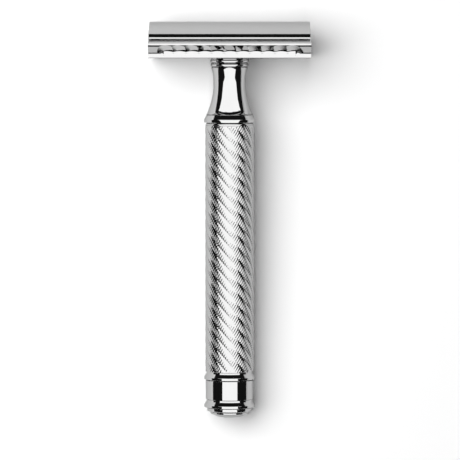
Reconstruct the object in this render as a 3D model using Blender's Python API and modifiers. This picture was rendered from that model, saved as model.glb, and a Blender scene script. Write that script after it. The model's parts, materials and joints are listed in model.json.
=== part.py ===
"""A three-piece double-edge safety razor with a closed guard and a spiral-knurled handle.

The razor lies on a flat surface as it would be laid down: the lower guard bar and the
lower foot bead touch z = 0, the head points along +Y and the head's length runs along X.
Every piece is drawn upright, with the handle's axis on z and the foot at z = 0, under one
empty that lays the whole razor down.
"""

import math

import bmesh
import bpy
from mathutils import Matrix, Vector

MM = 0.001
MERGE_DISTANCE = 0.001 * MM
SAME_PLACE = 0.0001 * MM

# Clearances between neighbours
SEAT_GAP = 0.10 * MM
BORE_GAP = 0.15 * MM
THREAD_GAP = 0.15 * MM
RUN_GAP = 0.25 * MM

# Blade, the standard double-edge size that the head is made round
BLADE_LENGTH = 42.9 * MM
BLADE_WIDTH = 22.1 * MM
BLADE_THICKNESS = 0.10 * MM
BLADE_EDGE_LENGTH = 37.3 * MM
BLADE_TAB_WIDTH = 13.2 * MM
BLADE_SLOT_LENGTH = 33.0 * MM
BLADE_GRIND_WIDTH = 0.8 * MM
BLADE_EDGE_THICKNESS = 0.02 * MM

# Screw that draws the head together, and the two locating pins
SCREW_RADIUS = 2.5 * MM
SCREW_PITCH = 0.8 * MM
SCREW_DEPTH = 0.43 * MM
SCREW_TURNS = 8
THREAD_ROOT = 4 / 16
THREAD_CREST_START = 9 / 16
THREAD_CREST_END = 11 / 16
STUD_TIP_RADIUS = 1.85 * MM
THREAD_IN_PLATE = 1.9 * MM
SHANK_RADIUS = 2.05 * MM
SPIGOT_RADIUS = 1.7 * MM
SPIGOT_LENGTH = 1.15 * MM
PIN_RADIUS = 1.45 * MM
PIN_SPIGOT_RADIUS = 1.0 * MM
PIN_SPIGOT_LENGTH = 0.9 * MM
PIN_OFFSET = 11.0 * MM
PIN_LENGTH = 6.4 * MM

# Guard plate under the blade
CREST_RADIUS = 19.4 * MM
PLATE_HEIGHT = 7.75 * MM
PLATE_CHAMFER = 0.3 * MM
BLADE_OVERHANG = 0.77 * MM
WALL_STEP = 0.65 * MM
BAR_SPAN = 1.83 * MM
BAR_RADIUS = 0.42 * MM
BAR_DROP = 1.06 * MM
BAR_OVERHANG = 0.20 * MM
BAR_TOP_NORMAL = math.radians(64)
UNDERCUT_SLOPE = math.radians(36)
SCALLOPS = 11
SCALLOP_WEB = 0.06 * MM
SCALLOP_RECESS = 0.5 * MM
SCALLOP_RISE = 0.05 * MM
SCALLOP_HEIGHT = 1.3 * MM
NOTCH_INSET = 0.95 * MM
NOTCH_DEPTH = 0.5 * MM
NOTCH_TAPER = 0.5 * MM
NOTCH_LIFT = 0.06 * MM
NOTCH_SLOPE = math.radians(33)
NOTCH_FALL = math.radians(27)

# Cap over the blade
CAP_OVERHANG = 0.15 * MM
BLADE_SHOW = 0.22 * MM
CAP_THICKNESS = 1.85 * MM
CAP_ROLL_RADIUS = 1.6 * MM
CAP_LIP = 0.08 * MM
CAP_END_ROUND = 0.4 * MM

# Neck, from the foot of its flare up to the seat of the guard plate
NECK_FLARE_RADIUS = 6.36 * MM
NECK_WAIST_RADIUS = 4.36 * MM
NECK_TOP_RADIUS = 4.66 * MM
NECK_FLARE_HEIGHT = 8.1 * MM
NECK_FLARE_POWER = 2.2
NECK_RISE_HEIGHT = 4.45 * MM
NECK_BEAD_RADIUS = 5.02 * MM
NECK_BEAD_HEIGHT = 1.15 * MM
NECK_FLANGE_RADIUS = 5.28 * MM
NECK_FLANGE_HEIGHT = 1.3 * MM
NECK_BEAD_GROOVE = 0.32 * MM
NECK_SPIGOT_LENGTH = 12.0 * MM
TAP_SPARE_DEPTH = 1.6 * MM

# Shoulder ring between neck and grip
RING_RADIUS = 6.92 * MM
RING_EDGE_RADIUS = 6.45 * MM
RING_HEIGHT = 2.25 * MM
RING_STEP_RADIUS = 6.3 * MM
RING_STEP_HEIGHT = 0.6 * MM

# Grip sleeve with its many-start left-hand flutes
GRIP_RADIUS = 6.58 * MM
GRIP_LENGTH = 66.7 * MM
GRIP_WALL = 1.7 * MM
FLUTES = 15
FLUTE_DEPTH = 0.26 * MM
FLUTE_LEAD = 47.3 * MM
FLUTE_POINTS = 3
FLUTE_ROWS = 26

# Foot collar, end button and the rod that clamps the handle together
FOOT_BAND_RADIUS = 6.51 * MM
FOOT_BAND_HEIGHT = 5.3 * MM
FOOT_BEAD_RADIUS = 6.92 * MM
FOOT_BEAD_HEIGHT = 2.2 * MM
FOOT_SPIGOT_LENGTH = 8.0 * MM
BUTTON_HEIGHT = 2.5 * MM
BUTTON_RADIUS = 6.15 * MM
BUTTON_STEP_RADIUS = 4.75 * MM
BUTTON_STEP_HEIGHT = 0.95 * MM
BUTTON_FLAT_RADIUS = 2.6 * MM
BUTTON_STEM_RADIUS = 4.2 * MM
BUTTON_STEM_LENGTH = 6.5 * MM
ROD_RADIUS = 2.0 * MM
ROD_GRIP_IN_NECK = 9.0 * MM
ROD_GRIP_IN_BUTTON = 5.5 * MM
ROD_CHAMFER = 0.4 * MM

# How far below its middle a bead is fullest, as a power of the way down
BEAD_LEAN = 1.3

# Steepest slope at which the razor could lie
STEEPEST_TILT = math.radians(30)
TILT_HALVINGS = 60

# Fineness of the round shapes
TURN_STEPS = 40
SMALL_TURN_STEPS = 24
THREAD_STEPS = 16
BEND_STEPS = 8
CROWN_STEPS = 16
ROLL_STEPS = 6
BEAD_STEPS = 6
DOME_STEPS = 4
RISE_STEPS = 3
FLARE_STEPS = 6
END_ROUND_STEPS = 3
SCALLOP_STEPS = 12
SHARP_ANGLE = math.radians(35)

# Finishes: colour and roughness
CHROME = ((0.74, 0.74, 0.74), 0.06)
KNURLED_CHROME = ((0.72, 0.72, 0.72), 0.12)
STEEL = ((0.56, 0.56, 0.57), 0.25)
BLADE_STEEL = ((0.62, 0.63, 0.64), 0.2)

# Heights along the handle, each from the piece below it
collar_bottom = BUTTON_HEIGHT + SEAT_GAP
collar_top = collar_bottom + FOOT_BAND_HEIGHT + 2 * FOOT_BEAD_HEIGHT
grip_bottom = collar_top + SEAT_GAP
grip_top = grip_bottom + GRIP_LENGTH
ring_bottom = grip_top + SEAT_GAP
ring_top = ring_bottom + RING_STEP_HEIGHT + RING_HEIGHT
neck_bottom = ring_top + SEAT_GAP
neck_bead_bottom = neck_bottom + NECK_FLARE_HEIGHT + NECK_RISE_HEIGHT
neck_top = neck_bead_bottom + NECK_BEAD_HEIGHT + NECK_FLANGE_HEIGHT
plate_bottom = neck_top + SEAT_GAP
plate_crest = plate_bottom + PLATE_HEIGHT

# One bend shared by plate, blade and cap, so that they lie parallel
bend_centre = plate_crest - CREST_RADIUS
blade_inner_radius = CREST_RADIUS + SEAT_GAP
blade_outer_radius = blade_inner_radius + BLADE_THICKNESS
cap_inner_radius = blade_outer_radius + SEAT_GAP
cap_under_apex = bend_centre + cap_inner_radius
cap_apex = cap_under_apex + CAP_THICKNESS

# Depths and lengths of the head, each from the blade that it holds
blade_mid_radius = blade_inner_radius + BLADE_THICKNESS / 2
blade_bend = BLADE_WIDTH / 2 / blade_mid_radius
blade_edge_depth = blade_mid_radius * math.sin(blade_bend)
blade_edge_height = bend_centre + blade_mid_radius * math.cos(blade_bend)
cap_half_depth = blade_edge_depth - BLADE_SHOW
plate_half_depth = blade_edge_depth - BLADE_OVERHANG
wall_half_depth = plate_half_depth + WALL_STEP
bar_half_depth = blade_edge_depth + BAR_SPAN
cap_length = BLADE_LENGTH + 2 * CAP_OVERHANG
bar_length = cap_length + 2 * BAR_OVERHANG

# Radii of the nested fits, and the ends of what screws together
stud_tip = neck_top - SCREW_TURNS * SCREW_PITCH
grip_bore_radius = GRIP_RADIUS - FLUTE_DEPTH - GRIP_WALL
spigot_fit_radius = grip_bore_radius - BORE_GAP
neck_spigot_bottom = neck_bottom - NECK_SPIGOT_LENGTH
rod_bore_radius = ROD_RADIUS + BORE_GAP
stem_bore_radius = BUTTON_STEM_RADIUS + BORE_GAP
stem_top = BUTTON_HEIGHT + BUTTON_STEM_LENGTH
rod_bottom = stem_top - ROD_GRIP_IN_BUTTON
rod_top = neck_spigot_bottom + ROD_GRIP_IN_NECK


def clear_scene():
    for old in list(bpy.data.objects):
        bpy.data.objects.remove(old, do_unlink=True)


def collection(name):
    made = bpy.data.collections.new(name)
    bpy.context.scene.collection.children.link(made)
    return made


def metal(name, finish):
    colour, roughness = finish
    made = bpy.data.materials.new(name)
    made.use_nodes = True
    shader = made.node_tree.nodes["Principled BSDF"]
    shader.inputs["Base Color"].default_value = (*colour, 1.0)
    shader.inputs["Roughness"].default_value = roughness
    shader.inputs["Metallic"].default_value = 1.0
    return made


clear_scene()
razor = collection("safety_razor")
cutters = collection("cutters")
rest_frame = bpy.data.objects.new("rest_frame", None)
razor.objects.link(rest_frame)


def add_part(name, mesh, finish=CHROME):
    """A named piece of the razor, with its own finish."""
    piece = bpy.data.objects.new(name, mesh)
    razor.objects.link(piece)
    piece.parent = rest_frame
    piece.data.materials.append(metal(name + "_finish", finish))
    return piece


def add_cutter(name, mesh):
    """A shape that only cuts, trims or joins another."""
    shape = bpy.data.objects.new(name, mesh)
    cutters.objects.link(shape)
    shape.parent = rest_frame
    shape.hide_render = True
    shape.display_type = "WIRE"
    return shape


def combine(piece, shape, operation):
    change = piece.modifiers.new(operation.lower() + "_" + shape.name, "BOOLEAN")
    change.operation = operation
    change.object = shape
    change.solver = "EXACT"


def shade_round(mesh):
    mesh.shade_smooth()
    mesh.set_sharp_from_angle(angle=SHARP_ANGLE)


def outline_mesh(name, points, closed):
    """A line of points in the X-Z plane, for a Screw modifier."""
    mesh = bpy.data.meshes.new(name)
    edges = [(i, i + 1) for i in range(len(points) - 1)]
    if closed:
        edges.append((len(points) - 1, 0))
    mesh.from_pydata([(r, 0, z) for r, z in points], edges, [])
    return mesh


def turn(piece, steps=TURN_STEPS):
    """Spins the outline of a piece about the handle's axis."""
    spin = piece.modifiers.new("turn", "SCREW")
    spin.axis = "Z"
    spin.angle = 2 * math.pi
    spin.steps = steps
    spin.render_steps = steps
    spin.use_merge_vertices = True
    spin.merge_threshold = MERGE_DISTANCE
    spin.use_smooth_shade = True


def evaluated_mesh(shape):
    """The plain mesh that a curve or a modified object makes."""
    bpy.context.view_layer.update()
    graph = bpy.context.evaluated_depsgraph_get()
    return bpy.data.meshes.new_from_object(shape.evaluated_get(graph))


def extruded_mesh(name, outlines, half_thickness):
    """A flat outline, with any holes after it, thickened to both sides of its own plane."""
    curve = bpy.data.curves.new(name, "CURVE")
    curve.dimensions = "2D"
    curve.fill_mode = "BOTH"
    curve.extrude = half_thickness
    for outline in outlines:
        spline = curve.splines.new("POLY")
        spline.points.add(len(outline) - 1)
        for point, (u, v) in zip(spline.points, outline):
            point.co = (u, v, 0, 1)
        spline.use_cyclic_u = True
    shape = bpy.data.objects.new(name, curve)
    cutters.objects.link(shape)
    mesh = evaluated_mesh(shape)
    bpy.data.objects.remove(shape, do_unlink=True)
    body = bmesh.new()
    body.from_mesh(mesh)
    bmesh.ops.remove_doubles(body, verts=body.verts, dist=MERGE_DISTANCE)
    bmesh.ops.recalc_face_normals(body, faces=body.faces)
    body.to_mesh(mesh)
    body.free()
    return mesh


def along_head(mesh):
    """Stands an extruded outline up: its u runs front to back, its v up and its thickness along X."""
    mesh.transform(Matrix(((0, 0, 1, 0), (1, 0, 0, 0), (0, 1, 0, 0), (0, 0, 0, 1))))
    return mesh


def add_cylinder(body, radius, low, high, x=0.0, steps=SMALL_TURN_STEPS):
    """Adds an upright cylinder between two heights to a bmesh."""
    place = Matrix.Translation((x, 0, (low + high) / 2))
    bmesh.ops.create_cone(
        body,
        cap_ends=True,
        segments=steps,
        radius1=radius,
        radius2=radius,
        depth=high - low,
        matrix=place,
    )


def cylinders_cutter(name, cylinders, steps=SMALL_TURN_STEPS):
    """One cutter of upright cylinders, each given as radius, low, high and x."""
    body = bmesh.new()
    for radius, low, high, x in cylinders:
        add_cylinder(body, radius, low, high, x, steps)
    mesh = bpy.data.meshes.new(name)
    body.to_mesh(mesh)
    body.free()
    return add_cutter(name, mesh)


def bead(low, high, edge_radius, crest_radius):
    """A bead on a turned outline, from its upper edge to its lower one, fullest below its middle."""
    points = []
    for i in range(BEAD_STEPS + 1):
        share = (1 - math.cos(math.pi * i / BEAD_STEPS)) / 2
        swell = (crest_radius - edge_radius) * math.sin(math.pi * share**BEAD_LEAN)
        points.append((edge_radius + swell, high + (low - high) * share))
    return points


def arc(centre, radius, start, end, steps):
    """Points on an arc in the Y-Z plane, with angles from the Y direction."""
    points = []
    for i in range(steps + 1):
        angle = start + (end - start) * i / steps
        points.append((centre[0] + radius * math.cos(angle), centre[1] + radius * math.sin(angle)))
    return points


def both_sides(half):
    """Closes an outline whose half runs down from the middle of the top, by its mirror image."""
    return half + [(-y, z) for y, z in reversed(half) if y > SAME_PLACE]


def bend_arc(radius, half_depth):
    """The shared bend from its crest out to a depth, in equal steps."""
    reach = math.asin(half_depth / radius)
    return arc((0, bend_centre), radius, math.pi / 2, math.pi / 2 - reach, BEND_STEPS)


def threaded_rod(name, radius, pitch, depth, low, high):
    """A right-hand threaded bar between two heights, with a full turn to spare at each end."""
    profile = [
        (radius - depth, 0),
        (radius - depth, pitch * THREAD_ROOT),
        (radius, pitch * THREAD_CREST_START),
        (radius, pitch * THREAD_CREST_END),
        (radius - depth, pitch),
    ]
    profile.reverse()
    turns = math.ceil((high - low) / pitch) + 2
    strand = bpy.data.objects.new(name + "_strand", outline_mesh(name + "_strand", profile, False))
    cutters.objects.link(strand)
    strand.location.z = low - pitch
    spin = strand.modifiers.new("thread", "SCREW")
    spin.axis = "Z"
    spin.angle = 2 * math.pi
    spin.screw_offset = pitch
    spin.iterations = turns
    spin.steps = THREAD_STEPS
    spin.render_steps = THREAD_STEPS
    mesh = evaluated_mesh(strand)
    mesh.transform(Matrix.Translation(strand.location))
    bpy.data.objects.remove(strand, do_unlink=True)
    body = bmesh.new()
    body.from_mesh(mesh)
    bmesh.ops.remove_doubles(body, verts=body.verts, dist=MERGE_DISTANCE)
    rims = [edge for edge in body.edges if edge.is_boundary]
    ends = bmesh.ops.holes_fill(body, edges=rims, sides=0)["faces"]
    bmesh.ops.poke(body, faces=ends)
    bmesh.ops.recalc_face_normals(body, faces=body.faces)
    body.to_mesh(mesh)
    body.free()
    return add_cutter(name, mesh)


# End button: the domed foot, drawn up by the rod that screws into its stem
button_outline = [
    (0, rod_bottom),
    (rod_bore_radius, rod_bottom),
    (rod_bore_radius, stem_top),
    (BUTTON_STEM_RADIUS, stem_top),
    (BUTTON_STEM_RADIUS, BUTTON_HEIGHT),
    (BUTTON_RADIUS, BUTTON_HEIGHT),
]
for i in range(1, DOME_STEPS + 1):
    share = i / DOME_STEPS
    drop = BUTTON_HEIGHT - (BUTTON_HEIGHT - BUTTON_STEP_HEIGHT) * math.sin(share * math.pi / 2)
    reach = BUTTON_STEP_RADIUS + (BUTTON_RADIUS - BUTTON_STEP_RADIUS) * math.cos(share * math.pi / 2)
    button_outline.append((reach, drop))
for i in range(1, DOME_STEPS + 1):
    share = i / DOME_STEPS
    reach = BUTTON_STEP_RADIUS + (BUTTON_FLAT_RADIUS - BUTTON_STEP_RADIUS) * share
    button_outline.append((reach, BUTTON_STEP_HEIGHT * (1 - share) ** 2))
button_outline.append((0, 0))
end_button = add_part("end_button", outline_mesh("end_button", button_outline, False))
turn(end_button)

# Foot collar: a band between two beads, with a spigot up into the grip
band_low = collar_bottom + FOOT_BEAD_HEIGHT
band_high = band_low + FOOT_BAND_HEIGHT
collar_outline = [
    (rod_bore_radius, collar_top + FOOT_SPIGOT_LENGTH),
    (spigot_fit_radius, collar_top + FOOT_SPIGOT_LENGTH),
    (spigot_fit_radius, collar_top),
]
collar_outline += bead(band_high, collar_top, FOOT_BAND_RADIUS, FOOT_BEAD_RADIUS)
lower_bead = bead(collar_bottom, band_low, FOOT_BAND_RADIUS, FOOT_BEAD_RADIUS)
collar_outline += lower_bead
collar_outline += [
    (stem_bore_radius, collar_bottom),
    (stem_bore_radius, stem_top + SEAT_GAP),
    (rod_bore_radius, stem_top + SEAT_GAP),
]
foot_collar = add_part("foot_collar", outline_mesh("foot_collar", collar_outline, True))
turn(foot_collar)

# Tie rod: the bar inside the handle, screwed into neck and end button
rod_outline = [
    (0, rod_top - SEAT_GAP),
    (ROD_RADIUS - ROD_CHAMFER, rod_top - SEAT_GAP),
    (ROD_RADIUS, rod_top - SEAT_GAP - ROD_CHAMFER),
    (ROD_RADIUS, rod_bottom + SEAT_GAP + ROD_CHAMFER),
    (ROD_RADIUS - ROD_CHAMFER, rod_bottom + SEAT_GAP),
    (0, rod_bottom + SEAT_GAP),
]
tie_rod = add_part("tie_rod", outline_mesh("tie_rod", rod_outline, False), STEEL)
turn(tie_rod, SMALL_TURN_STEPS)

# Grip sleeve: a tube with twisted flutes rolled into its outside
flute_outline = []
for i in range(FLUTES * FLUTE_POINTS):
    angle = 2 * math.pi * i / (FLUTES * FLUTE_POINTS)
    swell = abs(math.sin(FLUTES * angle / 2))
    radius = GRIP_RADIUS - FLUTE_DEPTH * (1 - swell)
    flute_outline.append((radius * math.cos(angle), radius * math.sin(angle)))
flute_section = bpy.data.meshes.new("grip_sleeve")
flute_section.from_pydata(
    [(x, y, grip_bottom) for x, y in flute_outline],
    [(i, (i + 1) % len(flute_outline)) for i in range(len(flute_outline))],
    [],
)
sleeve_guide = add_cutter("sleeve_guide", flute_section)
twist = sleeve_guide.modifiers.new("twist", "SCREW")
twist.axis = "Z"
twist.angle = -2 * math.pi * GRIP_LENGTH / FLUTE_LEAD
twist.screw_offset = GRIP_LENGTH
twist.steps = FLUTE_ROWS
twist.render_steps = FLUTE_ROWS
sleeve_mesh = evaluated_mesh(sleeve_guide)
bpy.data.objects.remove(sleeve_guide, do_unlink=True)
body = bmesh.new()
body.from_mesh(sleeve_mesh)
bmesh.ops.remove_doubles(body, verts=body.verts, dist=MERGE_DISTANCE)
rims = [edge for edge in body.edges if edge.is_boundary]
bmesh.ops.holes_fill(body, edges=rims, sides=0)
bmesh.ops.recalc_face_normals(body, faces=body.faces)
body.to_mesh(sleeve_mesh)
body.free()
grip_sleeve = add_part("grip_sleeve", sleeve_mesh, KNURLED_CHROME)
shade_round(grip_sleeve.data)
grip_bore = cylinders_cutter(
    "grip_bore",
    [(grip_bore_radius, grip_bottom - GRIP_WALL, grip_top + GRIP_WALL, 0)],
    TURN_STEPS,
)
combine(grip_sleeve, grip_bore, "DIFFERENCE")

# Shoulder ring: a bead over a narrow step, threaded onto the neck's spigot
ring_bore_radius = spigot_fit_radius + BORE_GAP
ring_outline = [(ring_bore_radius, ring_top)]
ring_outline += bead(ring_bottom + RING_STEP_HEIGHT, ring_top, RING_EDGE_RADIUS, RING_RADIUS)
ring_outline += [
    (RING_STEP_RADIUS, ring_bottom + RING_STEP_HEIGHT),
    (RING_STEP_RADIUS, ring_bottom),
    (ring_bore_radius, ring_bottom),
]
shoulder_ring = add_part("shoulder_ring", outline_mesh("shoulder_ring", ring_outline, True))
turn(shoulder_ring)

# Neck: flare, waist, bead and flange, tapped from the top for the stud and bored below for the rod
tap_bottom = stud_tip - TAP_SPARE_DEPTH
waist_height = neck_bottom + NECK_FLARE_HEIGHT
flange_bottom = neck_bead_bottom + NECK_BEAD_HEIGHT
neck_outline = [(0, neck_top)]
neck_outline += bead(flange_bottom, neck_top, NECK_FLANGE_RADIUS - NECK_BEAD_GROOVE, NECK_FLANGE_RADIUS)
neck_bead = bead(neck_bead_bottom, flange_bottom, NECK_BEAD_RADIUS - NECK_BEAD_GROOVE, NECK_BEAD_RADIUS)
neck_outline += neck_bead[1:]
for i in range(RISE_STEPS):
    share = i / RISE_STEPS
    radius = NECK_WAIST_RADIUS + (NECK_TOP_RADIUS - NECK_WAIST_RADIUS) * (1 - share) ** 2
    neck_outline.append((radius, neck_bead_bottom - NECK_RISE_HEIGHT * share))
for i in range(FLARE_STEPS + 1):
    share = i / FLARE_STEPS
    radius = NECK_WAIST_RADIUS + (NECK_FLARE_RADIUS - NECK_WAIST_RADIUS) * share**NECK_FLARE_POWER
    neck_outline.append((radius, waist_height - NECK_FLARE_HEIGHT * share))
neck_outline += [
    (spigot_fit_radius, neck_bottom),
    (spigot_fit_radius, neck_spigot_bottom),
    (rod_bore_radius, neck_spigot_bottom),
    (rod_bore_radius, rod_top),
    (0, rod_top),
]
neck = add_part("neck", outline_mesh("neck", neck_outline, False))
turn(neck)
tap = threaded_rod(
    "neck_tap",
    SCREW_RADIUS + THREAD_GAP,
    SCREW_PITCH,
    SCREW_DEPTH,
    tap_bottom + SCREW_PITCH,
    neck_top,
)
combine(neck, tap, "DIFFERENCE")

# Guard plate: the casting that bends the blade, with a safety bar and scallops along each side
bar_centre = (bar_half_depth - BAR_RADIUS, blade_edge_height - BAR_DROP)
bar_low_normal = UNDERCUT_SLOPE - math.pi / 2
bar_round = arc(bar_centre, BAR_RADIUS, BAR_TOP_NORMAL, bar_low_normal, ROLL_STEPS)


def undercut_height(depth):
    """Height of the sloping underside of the bar at a distance from the middle."""
    return bar_round[-1][1] - (bar_round[-1][0] - depth) * math.tan(UNDERCUT_SLOPE)


plate_half = bend_arc(CREST_RADIUS, plate_half_depth)
plate_half += bar_round
wall_top = undercut_height(wall_half_depth)
plate_half += [
    (wall_half_depth, wall_top),
    (wall_half_depth, plate_bottom + PLATE_CHAMFER),
    (wall_half_depth - PLATE_CHAMFER, plate_bottom),
]
plate_mesh = extruded_mesh("guard_plate", [both_sides(plate_half)], bar_length / 2)
guard_plate = add_part("guard_plate", along_head(plate_mesh))
shade_round(guard_plate.data)


def notch_cutter():
    """Grooves over the wall at the four ends of the plate, each with a slanting inner end."""
    groove_depth = wall_half_depth - NOTCH_DEPTH
    groove_height = undercut_height(groove_depth) + NOTCH_LIFT
    reach = bar_half_depth - groove_depth
    section = [
        (groove_depth, groove_height),
        (bar_half_depth, groove_height + reach * math.tan(NOTCH_SLOPE)),
        (bar_half_depth, groove_height - reach * math.tan(NOTCH_FALL)),
    ]
    outer_end = bar_length / 2 + NOTCH_TAPER
    inner_end = BLADE_EDGE_LENGTH / 2 - NOTCH_INSET
    body = bmesh.new()
    for side in (-1, 1):
        for end in (-1, 1):
            inner = []
            outer = []
            for depth, z in section:
                slant = NOTCH_TAPER * (wall_half_depth - depth) / NOTCH_DEPTH
                inner.append(body.verts.new((end * (inner_end + slant), side * depth, z)))
                outer.append(body.verts.new((end * outer_end, side * depth, z)))
            body.faces.new(inner)
            body.faces.new(outer)
            for a in range(len(section)):
                b = (a + 1) % len(section)
                body.faces.new((inner[a], inner[b], outer[b], outer[a]))
    bmesh.ops.recalc_face_normals(body, faces=body.faces)
    mesh = bpy.data.meshes.new("notches")
    body.to_mesh(mesh)
    body.free()
    return add_cutter("notches", mesh)


combine(guard_plate, notch_cutter(), "DIFFERENCE")


def scallop_cutter():
    """Round-topped pockets under both bars, each as deep as the recess behind the slope."""
    pitch = BLADE_EDGE_LENGTH / SCALLOPS
    radius = pitch / 2 - SCALLOP_WEB
    base = wall_top + SCALLOP_RISE
    outer = bar_half_depth + BAR_RADIUS
    step_back = SCALLOP_RECESS / math.sin(UNDERCUT_SLOPE)
    body = bmesh.new()
    for side in (-1, 1):
        for i in range(SCALLOPS):
            x = pitch * (i - (SCALLOPS - 1) / 2)
            rim = arc((0, 0), 1, 0, math.pi, SCALLOP_STEPS)
            outside = []
            inside = []
            for across, up in rim:
                u = x + radius * across
                z = base + SCALLOP_HEIGHT * up
                depth = wall_half_depth + (z - wall_top) / math.tan(UNDERCUT_SLOPE)
                outside.append(body.verts.new((u, side * outer, z)))
                inside.append(body.verts.new((u, side * (depth - step_back), z)))
            body.faces.new(outside)
            body.faces.new(inside)
            for a in range(len(rim)):
                b = (a + 1) % len(rim)
                body.faces.new((outside[a], outside[b], inside[b], inside[a]))
    bmesh.ops.recalc_face_normals(body, faces=body.faces)
    mesh = bpy.data.meshes.new("scallops")
    body.to_mesh(mesh)
    body.free()
    return add_cutter("scallops", mesh)


combine(guard_plate, scallop_cutter(), "DIFFERENCE")
hole_low = plate_bottom - PLATE_CHAMFER
hole_high = plate_crest + PLATE_CHAMFER
plate_holes = cylinders_cutter(
    "plate_holes",
    [
        (SCREW_RADIUS + RUN_GAP, hole_low, hole_high, 0),
        (PIN_RADIUS + RUN_GAP, hole_low, hole_high, -PIN_OFFSET),
        (PIN_RADIUS + RUN_GAP, hole_low, hole_high, PIN_OFFSET),
    ],
)
combine(guard_plate, plate_holes, "DIFFERENCE")

# Blade: thin steel with two ground edges, slotted for the stud and pins, bent over the plate
half_length = BLADE_LENGTH / 2
half_width = BLADE_WIDTH / 2
half_edge = BLADE_EDGE_LENGTH / 2
half_tab = BLADE_TAB_WIDTH / 2
blade_outline = [
    (half_length, -half_tab),
    (half_length, half_tab),
    (half_edge, half_tab),
    (half_edge, half_width),
    (-half_edge, half_width),
    (-half_edge, half_tab),
    (-half_length, half_tab),
    (-half_length, -half_tab),
    (-half_edge, -half_tab),
    (-half_edge, -half_width),
    (half_edge, -half_width),
    (half_edge, -half_tab),
]
slot_half_width = PIN_RADIUS + RUN_GAP
hole_radius = SCREW_RADIUS + RUN_GAP
hole_start = math.asin(slot_half_width / hole_radius)
slot_straight = BLADE_SLOT_LENGTH / 2 - slot_half_width
slot_outline = arc((slot_straight, 0), slot_half_width, -math.pi / 2, math.pi / 2, ROLL_STEPS)
slot_outline += arc((0, 0), hole_radius, hole_start, math.pi - hole_start, ROLL_STEPS)
slot_outline += arc((-slot_straight, 0), slot_half_width, math.pi / 2, 3 * math.pi / 2, ROLL_STEPS)
slot_outline += arc((0, 0), hole_radius, math.pi + hole_start, 2 * math.pi - hole_start, ROLL_STEPS)
blade_mesh = extruded_mesh("blade", [blade_outline, slot_outline], BLADE_THICKNESS / 2)
body = bmesh.new()
body.from_mesh(blade_mesh)
cuts = [half_width * (2 * i / (2 * BEND_STEPS) - 1) for i in range(1, 2 * BEND_STEPS)]
cuts += [BLADE_GRIND_WIDTH - half_width, half_width - BLADE_GRIND_WIDTH]
for cut in cuts:
    bmesh.ops.bisect_plane(
        body,
        geom=body.verts[:] + body.edges[:] + body.faces[:],
        dist=SAME_PLACE,
        plane_co=(0, cut, 0),
        plane_no=(0, 1, 0),
    )
bmesh.ops.triangulate(body, faces=body.faces)
for vert in body.verts:
    x, y, z = vert.co
    if abs(y) > half_width - SAME_PLACE:
        z *= BLADE_EDGE_THICKNESS / BLADE_THICKNESS
    angle = y / blade_mid_radius
    radius = blade_mid_radius + z
    vert.co = (x, radius * math.sin(angle), bend_centre + radius * math.cos(angle))
body.to_mesh(blade_mesh)
body.free()
blade = add_part("blade", blade_mesh, BLADE_STEEL)

# Cap: a domed casting with rolled long edges, hollowed to press the blade over the plate
lip_height = bend_centre + math.sqrt(cap_inner_radius**2 - cap_half_depth**2) + CAP_LIP
roll_inset = cap_half_depth - CAP_ROLL_RADIUS
roll_drop = cap_apex - lip_height - CAP_ROLL_RADIUS
crown_slope = 2 * math.atan(roll_drop / roll_inset)
crown_radius = roll_inset / math.sin(crown_slope) + CAP_ROLL_RADIUS
crown = arc((0, cap_apex - crown_radius), crown_radius, math.pi / 2, math.pi / 2 - crown_slope, CROWN_STEPS)
roll = arc((roll_inset, lip_height), CAP_ROLL_RADIUS, math.pi / 2 - crown_slope, 0, ROLL_STEPS)
cap_half = crown + roll[1:]
under_half = bend_arc(cap_inner_radius, cap_half_depth)
cap_outline = cap_half + list(reversed(under_half))
cap_outline += [(-y, z) for y, z in under_half[1:]]
cap_outline += [(-y, z) for y, z in reversed(cap_half) if y > SAME_PLACE]
cap_mesh = along_head(extruded_mesh("cap", [cap_outline], cap_length / 2))
body = bmesh.new()
body.from_mesh(cap_mesh)
end_edges = []
for edge in body.edges:
    at_end = all(abs(abs(v.co.x) - cap_length / 2) < SAME_PLACE for v in edge.verts)
    same_end = edge.verts[0].co.x * edge.verts[1].co.x > 0
    clear_of_bend = all(
        math.hypot(v.co.y, v.co.z - bend_centre) > cap_inner_radius + CAP_LIP / 4 for v in edge.verts
    )
    outside = any(abs(face.normal.x) < 0.5 for face in edge.link_faces)
    if at_end and same_end and clear_of_bend and outside:
        end_edges.append(edge)
bmesh.ops.bevel(
    body,
    geom=end_edges,
    offset=CAP_END_ROUND,
    offset_type="OFFSET",
    segments=END_ROUND_STEPS,
    profile=0.5,
    affect="EDGES",
    clamp_overlap=True,
)
body.to_mesh(cap_mesh)
body.free()
cap = add_part("cap", cap_mesh)
shade_round(cap.data)
socket_low = cap_under_apex - CAP_THICKNESS
stud_socket_top = cap_under_apex + SPIGOT_LENGTH + SEAT_GAP
pin_socket_top = cap_under_apex + PIN_SPIGOT_LENGTH + SEAT_GAP
cap_sockets = cylinders_cutter(
    "cap_sockets",
    [
        (SPIGOT_RADIUS + BORE_GAP, socket_low, stud_socket_top, 0),
        (PIN_SPIGOT_RADIUS + BORE_GAP, socket_low, pin_socket_top, -PIN_OFFSET),
        (PIN_SPIGOT_RADIUS + BORE_GAP, socket_low, pin_socket_top, PIN_OFFSET),
    ],
)
combine(cap, cap_sockets, "DIFFERENCE")


def under_cap(radius):
    """Height at which a flat shoulder of a radius clears the hollow of the cap."""
    return bend_centre + math.sqrt(cap_inner_radius**2 - radius**2) - SEAT_GAP


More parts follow.
